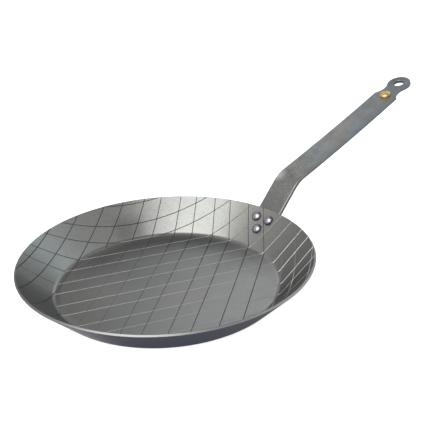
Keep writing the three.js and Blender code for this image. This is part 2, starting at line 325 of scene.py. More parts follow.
# Name, direction in the photograph, width and height in metres, brightness and colour.
softboxes = [
    softbox("softbox_above", from_picture(-0.28, -0.355, 0.89), 1.9, 1.3, 7.4, (1.0, 0.985, 0.955)),
    softbox("softbox_front", from_picture(-0.30, -0.75, 0.59), 2.0, 0.7, 6.2),
    softbox("window", from_picture(0.187, 0.862, 0.471), 0.9, 0.5, 4.0, (0.92, 0.955, 0.99)),
    softbox("card_right", from_picture(0.68, 0.57, 0.46), 0.85, 0.8, 2.0, (0.76, 0.95, 1.0)),
    softbox("glow_below", from_picture(-0.34, 0.70, -0.63), 0.8, 0.6, 1.9),
    softbox("card_behind", from_picture(-0.24, 0.68, 0.69), 1.2, 0.4, 1.9),
]
print(len(softboxes), "softboxes")

# %% Table
TABLE_RADIUS = 40.0
TABLE_SIDES = 96
TABLE_DROP = 0.0003
TABLE_ROUGHNESS = 0.6
TABLE_GLOW = 0.8


def lit_table():
    sheet = bmesh.new()
    bmesh.ops.create_circle(sheet, cap_ends=True, segments=TABLE_SIDES, radius=TABLE_RADIUS)
    mesh = bpy.data.meshes.new("table")
    sheet.to_mesh(mesh)
    sheet.free()
    milky, shader, place = new_finish("milky_sheet", metallic=0.0)
    haze = noise(place, per_metre=3.0, detail=2.0)
    blended(haze, grey(0.80), grey(0.84)).feed(shader, "Base Color")
    shader.inputs["Roughness"].default_value = TABLE_ROUGHNESS
    shader.inputs["Emission Color"].default_value = (1, 1, 1, 1)
    shader.inputs["Emission Strength"].default_value = TABLE_GLOW
    mesh.materials.append(milky)
    table = bpy.data.objects.new("table", mesh)
    table.location.z = -TABLE_DROP
    table.visible_glossy = False
    scene.collection.objects.link(table)
    return table


table = lit_table()
print("table", 2 * TABLE_RADIUS, "m across")

# %% [markdown]
# ## The pan's section
#
# The sizes repeat those of the CAD source, in millimetres. The wall is straight, and a bend joins it to
# the flat base. Pressing hardly stretches steel, so a point's distance from the centre of the flat
# disc, its reach, becomes its distance along the section of the pan. That gives a formula for the
# press: from reach, direction and depth below the cooking side to a place in space.

# %% Press
MM = 0.001
SHEET = 2.5
RIM_RADIUS = 140.0
RIM_HEIGHT = 31.5
BASE_RADIUS = 104.5
BASE_BEND = 9.0

run = RIM_RADIUS - BASE_RADIUS
rise = RIM_HEIGHT - BASE_BEND
WALL_LENGTH = math.sqrt(run**2 + rise**2 - BASE_BEND**2)
WALL_ANGLE = math.atan2(rise, run) + math.atan2(BASE_BEND, WALL_LENGTH)
INSIDE_BEND = BASE_BEND - SHEET
BEND_LENGTH = INSIDE_BEND * WALL_ANGLE
BLANK_RADIUS = BASE_RADIUS + BEND_LENGTH + WALL_LENGTH


def polar(points):
    return np.hypot(points[:, 0], points[:, 1]), np.arctan2(points[:, 1], points[:, 0])


def lean_of(reach):
    """How steep the pressed sheet is at a reach."""
    return np.clip((reach - BASE_RADIUS) / INSIDE_BEND, 0, WALL_ANGLE)


def press(points):
    """Where the press takes points of the blank, which lies with its cooking side at height 0."""
    reach, angle = polar(points)
    lean = lean_of(reach)
    bend = INSIDE_BEND - points[:, 2]
    straight = np.maximum(reach - BASE_RADIUS - BEND_LENGTH, 0)
    radius = np.minimum(reach, BASE_RADIUS) + bend * np.sin(lean) + straight * np.cos(lean)
    height = BASE_BEND - bend * np.cos(lean) + straight * np.sin(lean)
    return np.stack([radius * np.cos(angle), radius * np.sin(angle), height], axis=1)


print("wall", round(math.degrees(WALL_ANGLE), 1), "degrees, blank", round(2 * BLANK_RADIUS, 1), "mm across")

# %% [markdown]
# ## The blank
#
# The blank could be a disc with a Solidify modifier, but the cut edge of the rim catches a bright line
# of light, so its two corners need rounding. Here the outline of the sheet's section is turned into
# rings of vertices: out along the cooking side, round the cut edge, and back along the underside. The
# faces that will be engraved are marked in a layer of the mesh: the cooking side with its rounded
# corner at the rim, because only they are cut.

# %% Rings of the blank
RIM_ROUND = 0.5
PAN_SIDES = 192
BEND_STEPS = 7
WALL_STEPS = 5
ROUND_STEPS = 3


def blank_section():
    """Reach and height along the section of the blank, from the floor over the rim to the base."""
    bends = np.linspace(BASE_RADIUS, BASE_RADIUS + BEND_LENGTH, BEND_STEPS + 1)
    core = BLANK_RADIUS - RIM_ROUND
    walls = np.linspace(bends[-1], core, WALL_STEPS + 1)[1:-1]
    turns = np.linspace(0, math.pi / 2, ROUND_STEPS + 1)
    top = [(reach, 0.0) for reach in (*bends, *walls)]
    top += [(core + RIM_ROUND * math.sin(t), RIM_ROUND * (math.cos(t) - 1)) for t in turns]
    lower = [(core + RIM_ROUND * math.cos(t), RIM_ROUND * (1 - math.sin(t)) - SHEET) for t in turns]
    under = [(reach, -SHEET) for reach in bends[::-1]]
    return top, lower + under


def flat_blank():
    blank = bmesh.new()
    engraved = blank.faces.layers.int.new("engraved")
    top, rest = blank_section()
    angles = np.arange(PAN_SIDES) * 2 * math.pi / PAN_SIDES
    rings = []
    for reach, height in top + rest:
        rings.append([blank.verts.new((reach * math.cos(a), reach * math.sin(a), height)) for a in angles])
    blank.faces.new(rings[0])[engraved] = 1
    for number, (ring, following) in enumerate(zip(rings, rings[1:])):
        for side in range(PAN_SIDES):
            beside = (side + 1) % PAN_SIDES
            face = blank.faces.new((ring[side], following[side], following[beside], ring[beside]))
            face[engraved] = number < len(top) - 1
    blank.faces.new(rings[-1][::-1])
    return blank


blank = flat_blank()
print("blank of", len(blank.faces), "faces")

# %% [markdown]
# ## Engraving
#
# The grid could be a bump texture, but each groove catches the light on one flank and is dark on the
# other, and it runs as a curve up the wall, so it is cut into the mesh. On the flat blank all lines are
# straight. Five cuts with a plane for each line mark the edges, the bottom and the middles of the two
# flanks, and a formula then gives the depth: a V that runs out where the corner of the rim rounds away.
# A dark film fills the grooves, partly residue and partly painted shade, and it is thinner in places. The
# far flanks of the first family are painted bright on the floor and on the right wall, and those of the
# second family further right, a painted glint, so these lines shine where the others are dark.

# %% Groove lines
GRID_STAGGER = 1.0
GROOVE_WIDTH = 0.8
GROOVE_DEPTH = 0.45
# Heading, pitch, offset from the centre and side of the first stagger.
GRID_FAMILIES = [(math.radians(-24.25), 20.87, -0.6, -1), (math.radians(35.5), 20.62, -0.45, 1)]


def groove_lines():
    """Direction across each groove, its distance from the centre and the number of its family."""
    lines = []
    for family, (heading, pitch, offset, lean) in enumerate(GRID_FAMILIES):
        most = math.ceil(BLANK_RADIUS / pitch)
        for count in range(-most, most + 1):
            stagger = (lean if count % 2 == 0 else -lean) * GRID_STAGGER
            lines.append((-math.sin(heading), math.cos(heading), offset + count * pitch + stagger, family))
    return np.array([line for line in lines if abs(line[2]) < BLANK_RADIUS - GROOVE_WIDTH])


LINES = groove_lines()
print(len(LINES), "groove lines")


# %% Cuts
CUT_SHARES = (-0.5, -0.25, 0.0, 0.25, 0.5)
CUT_TOLERANCE = 1e-4


def cut_along(blank, line, aside):
    """Cuts the faces that are to be engraved along a line of the blank."""
    engraved = blank.faces.layers.int["engraved"]
    faces = [face for face in blank.faces if face[engraved]]
    edges = {edge for face in faces for edge in face.edges}
    corners = {corner for edge in edges for corner in edge.verts}
    crosswise = Vector((line[0], line[1], 0))
    bmesh.ops.bisect_plane(
        blank,
        geom=[*corners, *edges, *faces],
        dist=CUT_TOLERANCE,
        plane_co=crosswise * (line[2] + aside),
        plane_no=crosswise,
    )


for line in LINES:
    for share in CUT_SHARES:
        cut_along(blank, line, share * GROOVE_WIDTH)
print("engraved blank of", len(blank.faces), "faces")


# %% Depth
def groove_depth(points, lines=LINES):
    aside = np.abs(points[:, :2] @ lines[:, :2].T - lines[:, 2]).min(axis=1)
    return GROOVE_DEPTH * np.clip(1 - 2 * aside / GROOVE_WIDTH, 0, 1)


print("grooves", GROOVE_WIDTH, "mm wide and", GROOVE_DEPTH, "mm deep")

# %% Where the grooves are painted dark and their flanks painted bright
FIRST_FAMILY, SECOND_FAMILY = (LINES[LINES[:, 3] == family] for family in (0, 1))
FULL_FILL = 0.7
RIGHT_WALL_LESS_DARK = 0.9
RIGHT_WALL_GLINT = 1.2


def far_flank(points, lines):
    """1 in the middle of the grooves' far flank, and 0 at their edges and bottom."""
    aside = points[:, :2] @ lines[:, :2].T - lines[:, 2]
    return np.clip(1 - np.abs(4 * aside / GROOVE_WIDTH - 1), 0, 1).max(axis=1)


def on_floor(points):
    return polar(points)[0] < BASE_RADIUS + BEND_LENGTH / 2


def wall_share(points, headings, shares):
    """A share that changes round the wall and is 0 on the floor. The headings are those of the photograph,
    in degrees clockwise from straight away."""
    heading = 90 - np.degrees(polar(points)[1] + HANDLE_TURN)
    return np.where(on_floor(points), 0, np.interp((heading + 180) % 360 - 180, headings, shares))


def distance_across(points, lines):
    """How far points lie across a family of lines, from the centre."""
    return points[:, :2] @ lines[0, :2]


def by_right_wall(points):
    """1 at the second family's lines on the right wall, and 0 at its others."""
    return np.interp(distance_across(points, SECOND_FAMILY), [-97, -90], [1, 0])


def film_and_shade_share(points):
    """How dark the grooves are: a film that is partly residue and partly painted shade. It fills those of
    the left wall to their edges. The second family's grooves have less of it on the left of the floor, and
    hardly any on the right wall."""
    fill = 1 - FULL_FILL * wall_share(points, [-110, -92, -70, -50], [0, 1, 1, 0])
    leftward = distance_across(points, SECOND_FAMILY)
    left_floor = np.interp(leftward, [-50, 25, 90, 97], [1, 0.55, 0.3, 1])
    held = np.where(on_floor(points), left_floor, 1) * (1 - RIGHT_WALL_LESS_DARK * by_right_wall(points))
    first = groove_depth(points, FIRST_FAMILY) / GROOVE_DEPTH
    second = groove_depth(points, SECOND_FAMILY) / GROOVE_DEPTH
    return np.maximum(first, second * held) ** fill


def glint_share(points):
    """How bright the far flanks are painted, a painted glint. Those of the first family glint on the floor,
    most in its middle and at the back, and on the right wall. Those of the second family glint on the right
    wall only."""
    backward = distance_across(points, FIRST_FAMILY)
    leftward = distance_across(points, SECOND_FAMILY)
    floor = np.interp(backward, [-85, -62, -22, 20, 60], [0.4, 0.65, 1.0, 1.05, 1.15])
    floor = floor * np.interp(leftward, [-85, -45, 20, 80], [0.5, 1.0, 0.8, 0.68])
    wall = wall_share(points, [15, 40, 60, 80, 100, 150, 170], [0, 1.25, 1.2, 1.0, 0.8, 0.8, 0])
    first = far_flank(points, FIRST_FAMILY) * np.where(on_floor(points), floor, wall)
    second = far_flank(points, SECOND_FAMILY) * RIGHT_WALL_GLINT * by_right_wall(points)
    return np.maximum(first, second)


print(len(FIRST_FAMILY), "lines in the first family,", len(SECOND_FAMILY), "in the second")

# %% Directions of the engraved blank
SLOPE_STEP = 0.002


def groove_normals(points):
    """The way that the engraved blank faces, from the slope of the depth."""
    slopes = []
    for move in np.eye(3)[:2] * SLOPE_STEP:
        slopes.append((groove_depth(points + move) - groove_depth(points - move)) / (2 * SLOPE_STEP))
    return np.stack([*slopes, np.ones(len(points))], axis=1)


def plain_normals(points):
    """The way that the blank faces where it is plain: straight away from a core inside the sheet."""
    reach, angle = polar(points)
    outward = reach - np.minimum(reach, BLANK_RADIUS - RIM_ROUND)
    upward = points[:, 2] - np.clip(points[:, 2], RIM_ROUND - SHEET, -RIM_ROUND)
    return np.stack([outward * np.cos(angle), outward * np.sin(angle), upward], axis=1)


print("flanks slope", round(math.degrees(math.atan(2 * GROOVE_DEPTH / GROOVE_WIDTH)), 1), "degrees")

# %% [markdown]
# ## Pressing
#
# Now every vertex goes through the press. Blender would smooth the shading across the edges of the grooves,
# and the flat lands between them would look dented, so the mesh gets its own normals: each corner of a face
# takes the slope of the engraved blank just inside that face, turned in the same way as the sheet. Four
# measures stay on the vertices for the finish: how dark a groove is, from film and painted shade, how
# bright its flank is painted as a painted glint, where the sheet was cut, and which side is the outside.


# %% Pressed directions
NEAR_CENTRE = 1e-6
LEAST_DRAWN = 0.5


def press_normals(points, normals):
    """Directions on the flat blank, turned with the sheet. The press draws the wall in, which steepens
    slopes across it."""
    reach, angle = polar(points)
    lean = lean_of(reach)[:, None]
    out = np.stack([np.cos(angle), np.sin(angle), np.zeros_like(angle)], axis=1)
    around = np.stack([-np.sin(angle), np.cos(angle), np.zeros_like(angle)], axis=1)
    up = np.array([0.0, 0.0, 1.0])
    drawn = np.hypot(*press(points)[:, :2].T) / np.maximum(reach, NEAR_CENTRE)
    radial = (normals * out).sum(axis=1, keepdims=True)
    sideways = (normals * around).sum(axis=1, keepdims=True) / np.maximum(drawn, LEAST_DRAWN)[:, None]
    slope = out * np.cos(lean) + up * np.sin(lean)
    face = up * np.cos(lean) - out * np.sin(lean)
    turned = slope * radial + around * sideways + face * normals[:, 2:]
    return turned / np.linalg.norm(turned, axis=1, keepdims=True)


on_rim = np.array([[BLANK_RADIUS, 0.0, 0.0]])
print("the wall faces", np.round(press_normals(on_rim, np.array([[0.0, 0.0, 1.0]]))[0], 2))

# %% Pressed mesh
CORNER_INSET = 0.05
FACES_UP = 0.01


def column(items, key, width, kind=np.float64):
    """A property of many mesh items as an array."""
    values = np.empty(len(items) * width, dtype=kind)
    items.foreach_get(key, values)
    return values.reshape(-1, width) if width > 1 else values


def measure(mesh, name, values):
    """Keeps a measure on the vertices of a mesh, for its finish."""
    mesh.attributes.new(name, "FLOAT", "POINT").data.foreach_set("value", values.astype(np.float32))


def pressed_mesh(blank):
    mesh = bpy.data.meshes.new("engraved_pan")
    blank.to_mesh(mesh)
    blank.free()
    flat = column(mesh.vertices, "co", 3)
    corners = column(mesh.loops, "vertex_index", 1, np.int32)
    sizes = column(mesh.polygons, "loop_total", 1, np.int32)
    owners = np.repeat(np.arange(len(sizes)), sizes)
    centres = column(mesh.polygons, "center", 3)[owners]
    engraved = column(mesh.attributes["engraved"].data, "value", 1, np.int32)[owners] > 0

    inside = flat[corners] * (1 - CORNER_INSET) + centres * CORNER_INSET
    hollow = engraved & (groove_depth(inside) > -inside[:, 2])
    plain = plain_normals(flat)
    normals = plain[corners]
    normals[hollow] = groove_normals(inside[hollow])

    upward = plain[:, 2] / np.linalg.norm(plain, axis=1)
    depth = np.where(upward > FACES_UP, np.maximum(groove_depth(flat) + flat[:, 2], 0), 0)
    measure(mesh, "groove", np.where(depth > 0, film_and_shade_share(flat), 0))
    measure(mesh, "flank", np.where(depth > 0, glint_share(flat), 0))
    measure(mesh, "cut_edge", 1 - np.abs(upward))
    measure(mesh, "outside", np.clip(-upward, 0, 1))

    deep = flat.copy()
    deep[:, 2] -= depth
    mesh.vertices.foreach_set("co", (press(deep) * MM).ravel())
    mesh.polygons.foreach_set("use_smooth", np.ones(len(sizes), dtype=bool))
    mesh.update()
    mesh.normals_split_custom_set(press_normals(flat[corners], normals).tolist())
    return mesh


pan_mesh = pressed_mesh(blank)
print("pan of", len(pan_mesh.polygons), "faces")

# %% [markdown]
# ## Satin steel
#
# The pan's steel is bare: satin grey, with faint clouds of warmer and cooler grey from rolling and heat, a
# fine grain and dull specks, most on the wall. A flat grey metal would look like plastic, so slow noise
# tints the colour, and quicker noise changes the roughness. A dark film lies in the grooves, partly residue
# and partly painted shade. Painted shade darkens the floor towards the back and the right, in a broad band
# along the back, a thinner one at the left and a narrow one in the bend there. Painted shade also darkens
# the wall at the front and in one streak low at the back. The outside is painted darker and bluish towards
# the base, a painted shade. The far flanks of some grooves are painted bright, a painted glint, and the cut
# edge of the rim is bright, with a painted highlight that makes it brightest at the right.


# %% Painted shade on the steel
# Painted shade: darker patches on the floor, in the bend and on the wall, where the pan is shaded.
SHADE_DRIFT_SIDE = from_picture(0.5, 0.87, 0)
FLOOR_SHADE_DRIFT = [(0.15, 0), (0.42, 0.06), (0.65, 0.18), (0.8, 0.22)]
FLOOR_END = [(0.73, 1), (0.75, 0)]
BACK_SHADE = [(0.25, 0.04), (0.40, 0.18), (0.53, 0.34), (0.60, 0.46), (0.68, 0.42), (0.72, 0.12), (0.74, 0)]
LEFT_SHADE = [(0.42, 0), (0.60, 0.22), (0.70, 0.32), (0.73, 0.2), (0.75, 0)]
BEND_SHADE = [(0.71, 0), (0.73, 0.7), (0.745, 1), (0.757, 0.9), (0.772, 0)]
FRONT_WALL_SHADE = [(0.74, 0), (0.775, 1)]
BACK_WALL_SHADE_STREAK = [(0.76, 0), (0.79, 1), (0.86, 1), (0.93, 0)]
SHADE_PATCHES = [
    (BACK_SHADE, from_picture(0.08, 0.997, 0), [(0.1, 0), (0.6, 1)]),
    (LEFT_SHADE, from_picture(-0.97, -0.26, 0), [(0.4, 0), (0.95, 1)]),
    (BEND_SHADE, from_picture(-0.985, 0.174, 0), [(0.78, 0), (0.95, 0.6)]),
    (FRONT_WALL_SHADE, from_picture(0, -1, 0), [(0.08, 0), (0.2, 0.5), (0.3, 0.75), (0.45, 0.9)]),
    (BACK_WALL_SHADE_STREAK, from_picture(-0.365, 0.931, 0), [(0.987, 0), (0.9975, 0.4)]),
]


def painted_shade(place):
    """How much painted shade darkens the steel: a drift over the floor, and patches. Each patch has its
    stops outward, by the share of the rim's radius, its direction, and its stops by how far places lie
    there."""
    level = level_of(place)
    heading = level.node("VectorMath", {"operation": "NORMALIZE"}, {0: level})
    share = length_of(level) / (RIM_RADIUS * MM)
    shade_drift = as_factor(facing(place, SHADE_DRIFT_SIDE) / (RIM_RADIUS * MM))
    shade_sum = ramp(shade_drift, *FLOOR_SHADE_DRIFT) * ramp(share, *FLOOR_END)
    for outward, middle, around in SHADE_PATCHES:
        shade_sum = shade_sum + ramp(share, *outward) * ramp(facing(heading, middle), *around)
    return shade_sum


print(len(SHADE_PATCHES), "films of oil and a drift")

# %% Pan finish
WARM_STEEL = (0.39, 0.38, 0.355)
PLAIN_STEEL = (0.365, 0.372, 0.36)
COOL_STEEL = (0.345, 0.362, 0.362)
ROLLED_STEEL = (0.325, 0.335, 0.33)
DULL_SPECK = (0.22, 0.227, 0.222)
PAINTED_SHADE_TONE = (0.13, 0.13, 0.128)
GROOVE_FILM_AND_SHADE = (0.055, 0.055, 0.054)
GLINT_STEEL = (0.80, 0.80, 0.79)
OUTSIDE_SHADE = [(0.1, (0.27, 0.285, 0.365)), (0.5, (0.32, 0.335, 0.405)), (1.0, (0.39, 0.40, 0.435))]
RIM_HIGHLIGHT_TONES = [(0.4, 0.36), (0.75, 0.56)]
SPECKS_UP = [(0.12, 0.35), (0.3, 1)]
SPECK_START = 0.47
SPECK_STEEPNESS = 3.0
GROOVE_COVER = 0.95
GLINT_COVER = 0.8
OUTSIDE_SHADE_COVER = 0.75
EDGE_COVER = 0.8


def rim_highlight(place):
    """Painted highlight: the cut edge is brighter towards the right."""
    rightward = facing(place, from_picture(1, 0, 0)) / (RIM_RADIUS * MM)
    return ramp(rightward, *RIM_HIGHLIGHT_TONES)


def pan_finish():
    material, shader, place = new_finish("satin_pan_steel", metallic=1.0)
    clouds = noise(place, per_metre=13.0, detail=3.0)
    blotches = noise(place, per_metre=75.0, detail=3.0)
    grain = noise(place, per_metre=1500.0, detail=2.0)
    specks = noise(place, per_metre=900.0, detail=3.0)
    rolling = stretched_noise(place, per_metre=(18.0, 900.0, 900.0), detail=2.0)
    groove = measure_of(place, "groove")
    flank = measure_of(place, "flank")
    cut_edge = measure_of(place, "cut_edge")
    outside = measure_of(place, "outside")

    tint = ramp(clouds, (0.3, COOL_STEEL), (0.5, PLAIN_STEEL), (0.7, WARM_STEEL))
    worked = blended(blotches * 0.5 + rolling * 0.3, tint, ROLLED_STEEL)
    height = coordinate(place, "Z") / (RIM_HEIGHT * MM)
    dulled = (specks - SPECK_START) * SPECK_STEEPNESS * ramp(height, *SPECKS_UP)
    speckled = blended(dulled, worked, DULL_SPECK)
    # Painted shade: darker patches on the floor, in the bend and on the wall.
    shaded_steel = blended(painted_shade(place), speckled, PAINTED_SHADE_TONE)
    # Painted shade: the outside is darker and bluish towards the base.
    outside_shaded = blended(outside * OUTSIDE_SHADE_COVER, shaded_steel, ramp(height + blotches * 0.4 - 0.2, *OUTSIDE_SHADE))
    # Residue and painted shade darken the grooves.
    grooves_darkened = blended(groove * GROOVE_COVER, outside_shaded, GROOVE_FILM_AND_SHADE)
    # Painted glint: the far flanks of some grooves are painted bright.
    glinting = blended(flank * GLINT_COVER, grooves_darkened, GLINT_STEEL)
    # Painted highlight on the cut edge, brightest at the right.
    blended(cut_edge * EDGE_COVER, glinting, rim_highlight(place)).feed(shader, "Base Color")

    rough = 0.27 + 0.07 * clouds + 0.06 * blotches + 0.05 * rolling
    (rough + 0.04 * cut_edge).feed(shader, "Roughness")
    grained(shader, grain + specks + rolling * 0.6, 0.16)
    return material


pan_steel = pan_finish()
print("finish", pan_steel.name, "of", len(pan_steel.node_tree.nodes), "nodes")


# %% Pan in its place
def box_gap(piece, node):
    """The largest difference between the boxes of a piece and its CAD node, in millimetres."""
    low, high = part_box(node)
    spots = np.array([piece.matrix_world @ Vector(corner) for corner in piece.bound_box])
    gaps = [abs(spots.min(axis=0) - np.array(low)), abs(spots.max(axis=0) - np.array(high))]
    return round(float(np.max(gaps)) / MM, 2)


def place_piece(name, mesh, node, finish, where=None):
    """Puts a mesh in the scene as the piece that stands for a CAD node."""
    piece = bpy.data.objects.new(name, mesh)
    scene.collection.objects.link(piece)
    piece.matrix_world = where or Matrix.Identity(4)
    mesh.materials.append(finish)
    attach(piece, "root")
    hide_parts(node)
    bpy.context.view_layer.update()
    print(name, "keeps to", node, "within", box_gap(piece, node), "mm")
    return piece


place_piece("engraved_pan", pan_mesh, "pan_body", pan_steel)

# %% [markdown]
# ## The handle as a flat bar
#
# The real handle is cut from flat bar: round corners at the foot, a waist and a round eye at the other
# end. It could be drawn with curves and extruded, but it has to bend later, and only a mesh with cuts
# across its length bends well. So half of its outline is drawn as points, mirrored into two faces that
# share the middle line, cut across where it will bend, and given its thickness.

# %% Sizes of the handle
BAR_WIDTH = 29.0
BAR_THICKNESS = 4.0
NECK_LENGTH = 41.1
NECK_BEND = 38.0
GRIP_LENGTH = 196.2
GRIP_ANGLE = math.radians(15.6)
GRIP_CURL = math.radians(2.8)
GRIP_END = 42.0
RIVET_DROP = 11.0
RIVET_ROW_STEP = 12.5
FOOT_MARGIN = 9.5
FOOT_CORNER = 10.0
EYE_RADIUS = 13.3
EYE_HOLE_RADIUS = 5.7
WAIST_WIDTH = 19.4
WAIST_DISTANCE = 14.0
SEAT_GAP = 0.3

foot = -(RIVET_DROP + RIVET_ROW_STEP + FOOT_MARGIN)
bend_tangent = NECK_BEND * math.tan((WALL_ANGLE - GRIP_ANGLE) / 2)
bend_start = NECK_LENGTH - bend_tangent
bend_end = bend_start + NECK_BEND * (WALL_ANGLE - GRIP_ANGLE)
curl_length = GRIP_LENGTH - bend_tangent - GRIP_END
curl_end = bend_end + curl_length
eye = curl_end + GRIP_END
print("flat bar", round(eye + EYE_RADIUS - foot, 1), "mm long")


# %% Outline of the bar
CORNER_STEPS = 12
WAIST_STEPS = 14
EYE_STEPS = 28
HOLE_STEPS = 20
BEND_CUTS = 15
SAME_SPOT = 1e-6


def arc(centre, radius, start, stop, count):
    turns = np.linspace(start, stop, count + 1)
    return [(centre[0] + radius * math.cos(t), centre[1] + radius * math.sin(t)) for t in turns]


def half_outline():
    """Half of the bar: its outer edge from foot to eye, and the edge of the hole."""
    half, waist = BAR_WIDTH / 2, WAIST_WIDTH / 2
    hollow = (WAIST_DISTANCE**2 + waist**2 - EYE_RADIUS**2) / (2 * (EYE_RADIUS - waist))
    hollow_middle = (eye - WAIST_DISTANCE, waist + hollow)
    shoulder = -math.pi / 2 - math.acos((waist + hollow - half) / hollow)
    meeting = math.atan2(waist + hollow, -WAIST_DISTANCE)
    corner = (foot + FOOT_CORNER, half - FOOT_CORNER)
    edge = [(foot, 0.0)]
    edge += arc(corner, FOOT_CORNER, math.pi, math.pi / 2, CORNER_STEPS)
    edge += arc(hollow_middle, hollow, shoulder, meeting - math.pi, WAIST_STEPS)
    edge += arc((eye, 0.0), EYE_RADIUS, meeting, 0, EYE_STEPS)[1:]
    hole = arc((eye, 0.0), EYE_HOLE_RADIUS, 0, math.pi, HOLE_STEPS)
    return edge, hole


def flat_bar():
    bar = bmesh.new()
    edge, hole = half_outline()
    ends = {}
    for side in (1, -1):
        corners = []
        for along, aside in edge + hole:
            key = (round(along, 6), round(abs(aside), 6) * side if abs(aside) > SAME_SPOT else 0.0)
            ends[key] = ends.get(key) or bar.verts.new((key[0], key[1], 0.0))
            corners.append(ends[key])
        bar.faces.new(corners[::-side])
    bends = np.linspace(bend_start, bend_end, BEND_CUTS)
    curls = np.linspace(bend_end, curl_end, BEND_CUTS)[1:]
    for along in (*bends, *curls):
        bmesh.ops.bisect_plane(
            bar,
            geom=[*bar.verts, *bar.edges, *bar.faces],
            dist=CUT_TOLERANCE,
            plane_co=(along, 0, 0),
            plane_no=(1, 0, 0),
        )
    return bar


bar = flat_bar()
print("flat bar of", len(bar.faces), "faces")

# %% [markdown]
# ## Thickness, filed edges and the bend
#
# The sheared edges of a real bar are filed, and on the neck that narrow band shows as a bright line. A
# bevel makes the band while the bar is still flat, and its faces are marked for the finish. Then the
# bar is bent: each vertex keeps its distance below the top face while the top face follows the side
# view of the handle, with its foot along the outside of the wall, a tight bend at the neck and a slow
# curl along the grip. The Weighted Normal modifier keeps the broad faces flat and lets only the filed
# band turn the light.


# %% Filed bar
FILED_WIDTH = 0.8
FILED_STEPS = 4
FILED_TURN = math.radians(60)


def thicken_and_file(bar):
    filed = bar.faces.layers.float.new("filed")
    made = bmesh.ops.extrude_face_region(bar, geom=bar.faces[:], use_keep_orig=True)
    below = [item for item in made["geom"] if isinstance(item, bmesh.types.BMVert)]
    bmesh.ops.translate(bar, verts=below, vec=(0, 0, -BAR_THICKNESS))
    bmesh.ops.recalc_face_normals(bar, faces=bar.faces[:])
    sharp = [edge for edge in bar.edges if edge.calc_face_angle(0) > FILED_TURN]
    made = bmesh.ops.bevel(
        bar,
        geom=sharp,
        offset=FILED_WIDTH,
        offset_type="OFFSET",
        segments=FILED_STEPS,
        profile=0.5,
        affect="EDGES",
        loop_slide=False,
    )
    for face in made["faces"]:
        face[filed] = 1.0


thicken_and_file(bar)
print("filed bar of", len(bar.faces), "faces")


# %% Bent bar
def slope_up(angle):
    return np.array([np.cos(angle), np.sin(angle)]).T


def face_up(angle):
    return np.array([-np.sin(angle), np.cos(angle)]).T


rim_seat = np.array([RIM_RADIUS, RIM_HEIGHT]) - SEAT_GAP * face_up(WALL_ANGLE)
bend_middle = rim_seat + bend_start * slope_up(WALL_ANGLE) - NECK_BEND * face_up(WALL_ANGLE)
curl_radius = curl_length / GRIP_CURL
curl_middle = bend_middle + (NECK_BEND + curl_radius) * face_up(GRIP_ANGLE)


def bar_angle(along):
    """Slope of the handle at a distance along its top face."""
    turned = np.clip(along - bend_start, 0, bend_end - bend_start) / NECK_BEND
    curled = np.clip(along - bend_end, 0, curl_length) / curl_radius
    return WALL_ANGLE - turned + curled


def bar_top(along):
    """Place on the top face, from the side: distance from the pan's centre and height."""
    angle = bar_angle(along)
    neck = rim_seat + np.minimum(along, bend_start)[:, None] * slope_up(WALL_ANGLE)
    bend = bend_middle + NECK_BEND * face_up(angle)
    rest = np.maximum(along - curl_end, 0)[:, None] * slope_up(angle)
    grip = curl_middle - curl_radius * face_up(angle) + rest
    return np.where((along < bend_start)[:, None], neck, np.where((along < bend_end)[:, None], bend, grip))


def bent_mesh(bar):
    mesh = bpy.data.meshes.new("bent_handle")
    bar.to_mesh(mesh)
    bar.free()
    flat = column(mesh.vertices, "co", 3)
    side = bar_top(flat[:, 0]) + flat[:, 2:] * face_up(bar_angle(flat[:, 0]))
    bent = np.stack([side[:, 0], flat[:, 1], side[:, 1]], axis=1)
    mesh.vertices.foreach_set("co", (bent * MM).ravel())
    mesh.polygons.foreach_set("use_smooth", np.ones(len(mesh.polygons), dtype=bool))
    mesh.update()
    return mesh


handle_mesh = bent_mesh(bar)
print("handle of", len(handle_mesh.polygons), "faces")

# %% [markdown]
# ## Tempered steel
#
# The handle is the same bare steel, with heat colours along its length and painted shade: dark at the neck,
# pale on the grip, blue-grey at the waist and dark at the eye, where the darkness at the neck and the eye
# is painted shade. A colour ramp along the bar gives that. Soft patches of blue and straw lie on it as slow
# noise, mixed in faintly, because strong colours would look painted, with more blue along one edge. The
# neck is finely pitted, and a painted highlight lightens one corner of the bend. Fine lines along the bar
# come from drawing it to size, and the filed edges are brighter and smoother.


# %% Handle finish
HEAT_START = 0.12
HEAT_LENGTH = 0.26
# The neck and eye tones are heat colour mixed with painted shade.
NECK_HEAT_AND_SHADE = [(0.10, (0.25, 0.253, 0.25)), (0.17, (0.345, 0.347, 0.335)), (0.22, (0.45, 0.445, 0.42))]
GRIP_HEAT = [(0.32, (0.47, 0.475, 0.465)), (0.55, (0.405, 0.41, 0.405)), (0.75, (0.42, 0.425, 0.425))]
EYE_HEAT_AND_SHADE = [(0.82, (0.34, 0.37, 0.38)), (0.87, (0.27, 0.305, 0.32)), (0.93, (0.185, 0.186, 0.188))]
BLUE_TEMPER = (0.31, 0.37, 0.43)
STRAW_TEMPER = (0.42, 0.39, 0.33)
DULL_CLOUD = (0.25, 0.255, 0.25)
DRAWN_LINE = (0.28, 0.285, 0.28)
PIT = (0.12, 0.122, 0.122)
PIT_START = 0.45
BEND_HIGHLIGHT_STEEL = (0.80, 0.79, 0.77)
BEND_HIGHLIGHT_PLACE = (0.170, 0.0135, 0.059)
BEND_HIGHLIGHT_RADIUS = 0.010
FILED_TONE = 0.46
FILED_COVER = 0.5


